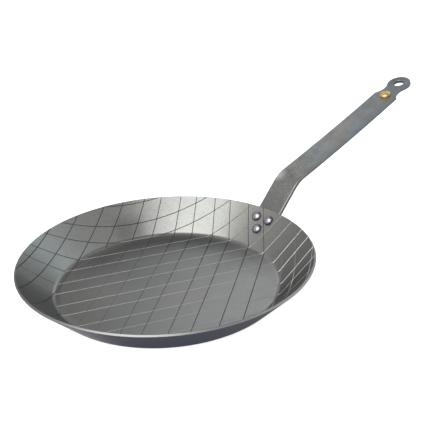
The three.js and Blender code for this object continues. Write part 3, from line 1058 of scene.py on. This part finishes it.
def temper(place, reach, clouds):
    """Heat colours along the bar, with painted shade at the neck and the eye, and patches of blue past the
    neck and of straw everywhere.
    """
    aside = coordinate(place, "Y") / (BAR_WIDTH * MM)
    patches = stretched_noise(place, per_metre=(22.0, 45.0, 30.0), detail=2.0)
    blue = ramp(patches, (0.50, 0), (0.64, 0.6)) + ramp(aside + clouds, (0.1, 0.7), (0.4, 0))
    straw = ramp(patches, (0.36, 0.6), (0.47, 0))
    heat_and_shade = ramp(reach, *NECK_HEAT_AND_SHADE, *GRIP_HEAT, *EYE_HEAT_AND_SHADE)
    blued = blended(blue * ramp(reach, (0.25, 0), (0.40, 1)), heat_and_shade, BLUE_TEMPER)
    return blended(straw, blued, STRAW_TEMPER)


def handle_finish():
    material, shader, place = new_finish("tempered_bar_steel", metallic=1.0)
    clouds = stretched_noise(place, per_metre=(55.0, 80.0, 80.0), detail=3.0)
    drawn = stretched_noise(place, per_metre=(25.0, 1300.0, 700.0), detail=2.0)
    grain = noise(place, per_metre=1600.0, detail=2.0)
    specks = noise(place, per_metre=650.0, detail=3.0)
    filed = measure_of(place, "filed")
    reach = (coordinate(place, "X") - HEAT_START) / HEAT_LENGTH

    mottled = blended(ramp(clouds, (0.40, 0), (0.62, 0.5)), temper(place, reach, clouds), DULL_CLOUD)
    lined = blended(drawn * 0.3, mottled, DRAWN_LINE)
    pitting = ramp(reach, (0.25, 1), (0.40, 0.27))
    pitted = blended((specks - PIT_START) * SPECK_STEEPNESS * pitting, lined, PIT)
    # Painted highlight: a light spot at one corner of the bend.
    spot = {0: place, 1: BEND_HIGHLIGHT_PLACE}
    away = place.node("VectorMath", {"operation": "DISTANCE"}, spot).out("Value")
    bend_highlighted = blended(ramp(away / BEND_HIGHLIGHT_RADIUS, (0.2, 0.8), (1.0, 0)), pitted, BEND_HIGHLIGHT_STEEL)
    blended(filed * FILED_COVER, bend_highlighted, grey(FILED_TONE)).feed(shader, "Base Color")

    (0.30 + 0.10 * clouds + 0.08 * drawn - 0.08 * filed).feed(shader, "Roughness")
    grained(shader, grain * 0.7 + drawn, 0.12)
    return material


handle = place_piece("bent_handle", handle_mesh, "handle_bar", handle_finish())
LARGE_FACE_WEIGHT = 100
flatten = handle.modifiers.new("broad_faces_flat", "WEIGHTED_NORMAL")
flatten.weight = LARGE_FACE_WEIGHT
print("modifier", flatten.name)

# %% [markdown]
# ## Rivets
#
# Each rivet is one turned piece: a polished dome inside the pan, a shank through the wall and the bar,
# and a tail that was hammered flat behind the bar. A turned piece is a side outline carried round an
# axis, so one helper makes rings of vertices from the outline. Sharp turns of the outline are marked
# sharp, and the dome stays smooth.

# %% Turned pieces
TURNED_SIDES = 48
SHARP_TURN = math.radians(40)


def turned_mesh(name, outline):
    """A closed turned piece, from radius and height along its side. It starts and ends on the axis."""
    piece = bmesh.new()
    turns = np.arange(TURNED_SIDES) * 2 * math.pi / TURNED_SIDES
    first = piece.verts.new((0, 0, outline[0][1] * MM))
    last = piece.verts.new((0, 0, outline[-1][1] * MM))
    rings = []
    for radius, height in outline[1:-1]:
        spots = [(radius * math.cos(t) * MM, radius * math.sin(t) * MM, height * MM) for t in turns]
        rings.append([piece.verts.new(spot) for spot in spots])
    for side in range(TURNED_SIDES):
        beside = (side + 1) % TURNED_SIDES
        piece.faces.new((first, rings[0][beside], rings[0][side]))
        piece.faces.new((last, rings[-1][side], rings[-1][beside]))
        for ring, following in zip(rings, rings[1:]):
            piece.faces.new((ring[side], ring[beside], following[beside], following[side]))
    for face in piece.faces:
        face.smooth = True
    for edge in piece.edges:
        edge.smooth = edge.calc_face_angle(0) < SHARP_TURN
    mesh = bpy.data.meshes.new(name)
    piece.to_mesh(mesh)
    piece.free()
    return mesh


def dome(radius, base, height, count, crown=1.0):
    """An outline over a dome, from its edge to its top. A crown below 1 makes the top flatter."""
    turns = np.linspace(0, math.pi / 2, count + 1)
    return [(radius * abs(math.cos(t)) ** crown, base + height * math.sin(t)) for t in turns]


print("turned pieces have", TURNED_SIDES, "sides")

# %% Rivet shape
RIVET_SPACING = 17.0
RIVET_HEAD_RADIUS = 5.2
RIVET_HEAD_HEIGHT = 3.2
RIVET_HEAD_EDGE = 0.5
RIVET_HEAD_CORNER = 0.15
RIVET_HEAD_STEPS = 12
RIVET_SHANK_RADIUS = 3.0
RIVET_TAIL_RADIUS = 4.6
RIVET_TAIL_HEIGHT = 2.0
RIVET_TAIL_EDGE = 0.5
RIVET_TAIL_STEPS = 8

upper_wall_radius = float(press(np.array([[BLANK_RADIUS - RIVET_DROP, 0.0, -SHEET]]))[0, 0])


def rivet_outline(aside):
    """The wall curves away from the flat foot of the bar, so a rivet that sits aside reaches further."""
    curve = upper_wall_radius / math.sin(WALL_ANGLE)
    foot_step = (aside + RIVET_TAIL_RADIUS) ** 2 / (2 * curve)
    tail = -(SHEET + SEAT_GAP + BAR_THICKNESS + foot_step)
    end = tail - SEAT_GAP - RIVET_TAIL_HEIGHT
    tail_dome = dome(RIVET_TAIL_RADIUS, 0.0, RIVET_TAIL_HEIGHT - RIVET_TAIL_EDGE, RIVET_TAIL_STEPS)
    set_tail = [(radius, tail - SEAT_GAP - RIVET_TAIL_EDGE - height) for radius, height in tail_dome[::-1]]
    outline = [(0.0, end), *set_tail[1:], (RIVET_TAIL_RADIUS, tail), (RIVET_SHANK_RADIUS, tail)]
    outline += [(RIVET_SHANK_RADIUS, 0.0), (RIVET_HEAD_RADIUS - RIVET_HEAD_CORNER, 0.0)]
    outline += [(RIVET_HEAD_RADIUS, RIVET_HEAD_CORNER)]
    crown = RIVET_HEAD_HEIGHT + SEAT_GAP - RIVET_HEAD_EDGE
    outline += dome(RIVET_HEAD_RADIUS, RIVET_HEAD_EDGE, crown, RIVET_HEAD_STEPS)
    return outline


def wall_frame(angle, drop):
    """A place on the cooking side of the wall: x up the slope and z into the pan."""
    reach = BLANK_RADIUS - drop
    spot = press(np.array([[reach * math.cos(angle), reach * math.sin(angle), 0.0]]))[0] * MM
    return Matrix.Translation(spot) @ Matrix.Rotation(angle, 4, "Z") @ Matrix.Rotation(-WALL_ANGLE, 4, "Y")


print("rivet", round(rivet_outline(0)[-1][1] - rivet_outline(0)[0][1], 1), "mm long")

# %% [markdown]
# ## Polished rivets
#
# The heads are the shiniest metal on the pan: small mirrors of the room, slightly violet, with a white spot
# from the softbox. Painted shade darkens them towards their edge, where they meet the wall, so the colour
# falls off with the distance from the axis. Fine rings of turning marks and a few dull specks keep them
# from looking like glass beads.


# %% Rivet finish
VIOLET_STEEL = (0.40, 0.375, 0.44)
PALE_VIOLET_STEEL = (0.50, 0.475, 0.53)
EDGE_SHADE = (0.09, 0.085, 0.10)


def rivet_finish():
    material, shader, place = new_finish("polished_rivet_steel", metallic=1.0)
    aside = length_of(level_of(place))
    rings = aside.node("TexNoise", {"noise_dimensions": "1D"}, {"W": aside * 6000.0, "Scale": 1.0})
    specks = noise(place, per_metre=900.0, detail=3.0)
    smudge = noise(place, per_metre=260.0, detail=2.0)
    steel = blended(smudge, VIOLET_STEEL, PALE_VIOLET_STEEL)
    # Painted shade: the head darkens towards its edge.
    edge = ramp(aside / (RIVET_HEAD_RADIUS * MM), (0.72, 0), (0.98, 0.85))
    blended(edge, steel, EDGE_SHADE).feed(shader, "Base Color")
    (0.18 + 0.08 * specks**2.0 + 0.06 * smudge).feed(shader, "Roughness")
    grained(shader, rings * 0.5 + specks, 0.08)
    return material


rivet_steel = rivet_finish()
print("finish", rivet_steel.name)

# %% Three rivets
side_angle = math.asin(RIVET_SPACING / 2 / upper_wall_radius)
RIVETS = [
    ("left", side_angle, RIVET_DROP, RIVET_SPACING / 2),
    ("right", -side_angle, RIVET_DROP, RIVET_SPACING / 2),
    ("lower", 0.0, RIVET_DROP + RIVET_ROW_STEP, 0.0),
]
for side, angle, drop, aside in RIVETS:
    mesh = turned_mesh("domed_rivet_" + side, rivet_outline(aside))
    place_piece(mesh.name, mesh, "rivet_" + side, rivet_steel, wall_frame(angle, drop))

# %% [markdown]
# ## Golden button
#
# Beside the eye sits a small golden button, plugged through the bar. It is plain: a short straight edge
# under a low crown with fine turned rings, which glint from several sides. It is turned like the
# rivets, and a wave along the outline of the crown makes the rings.

# %% Button shape
BUTTON_RADIUS = 6.2
BUTTON_HEIGHT = 2.2
BUTTON_EDGE = 0.6
BUTTON_CORNER = 0.1
BUTTON_STEPS = 48
BUTTON_CROWN = 0.5
RING_PITCH = 1.6
RING_HEIGHT = 0.12
BUTTON_DISTANCE = 26.0
BUTTON_STEM_RADIUS = 3.0
BUTTON_TAIL_RADIUS = 4.2
BUTTON_TAIL_HEIGHT = 1.2
BUTTON_TAIL_CORNER = 0.4


def button_outline():
    flange = -(BAR_THICKNESS + SEAT_GAP)
    top = SEAT_GAP + BUTTON_HEIGHT
    end = flange - BUTTON_TAIL_HEIGHT
    back = [(0.0, end), (BUTTON_TAIL_RADIUS - BUTTON_TAIL_CORNER, end)]
    back += [(BUTTON_TAIL_RADIUS, end + BUTTON_TAIL_CORNER), (BUTTON_TAIL_RADIUS, -BAR_THICKNESS)]
    stem = [(BUTTON_STEM_RADIUS, -BAR_THICKNESS), (BUTTON_STEM_RADIUS, 0.0)]
    side = [(BUTTON_RADIUS - BUTTON_CORNER, 0.0), (BUTTON_RADIUS, BUTTON_CORNER)]
    edge = SEAT_GAP + BUTTON_EDGE
    crown = []
    for radius, height in dome(BUTTON_RADIUS, edge, top - edge - RING_HEIGHT, BUTTON_STEPS, BUTTON_CROWN):
        crown.append((radius, height + RING_HEIGHT * math.cos(2 * math.pi * radius / RING_PITCH)))
    return back + stem + side + crown


def bar_frame(along):
    """A place on the top face of the bar: x along it and z out of it."""
    spot = bar_top(np.array([along]))[0] * MM
    turn = Matrix.Rotation(-float(bar_angle(along)), 4, "Y")
    return Matrix.Translation((spot[0], 0.0, spot[1])) @ turn


print("button", 2 * BUTTON_RADIUS, "mm across")


# %% Button finish
GOLD = [(0.35, (0.86, 0.52, 0.16)), (0.5, (0.94, 0.64, 0.27)), (0.65, (0.98, 0.76, 0.42))]


def button_finish():
    material, shader, place = new_finish("golden_button", metallic=1.0)
    cloud = noise(place, per_metre=240.0, detail=2.0)
    grain = noise(place, per_metre=1500.0, detail=2.0)
    ramp(cloud, *GOLD).feed(shader, "Base Color")
    (0.24 + 0.16 * grain).feed(shader, "Roughness")
    grained(shader, grain + cloud, 0.15)
    return material


button_mesh = turned_mesh("golden_button", button_outline())
button_place = bar_frame(eye - BUTTON_DISTANCE)
place_piece("golden_button", button_mesh, "handle_button", button_finish(), button_place)
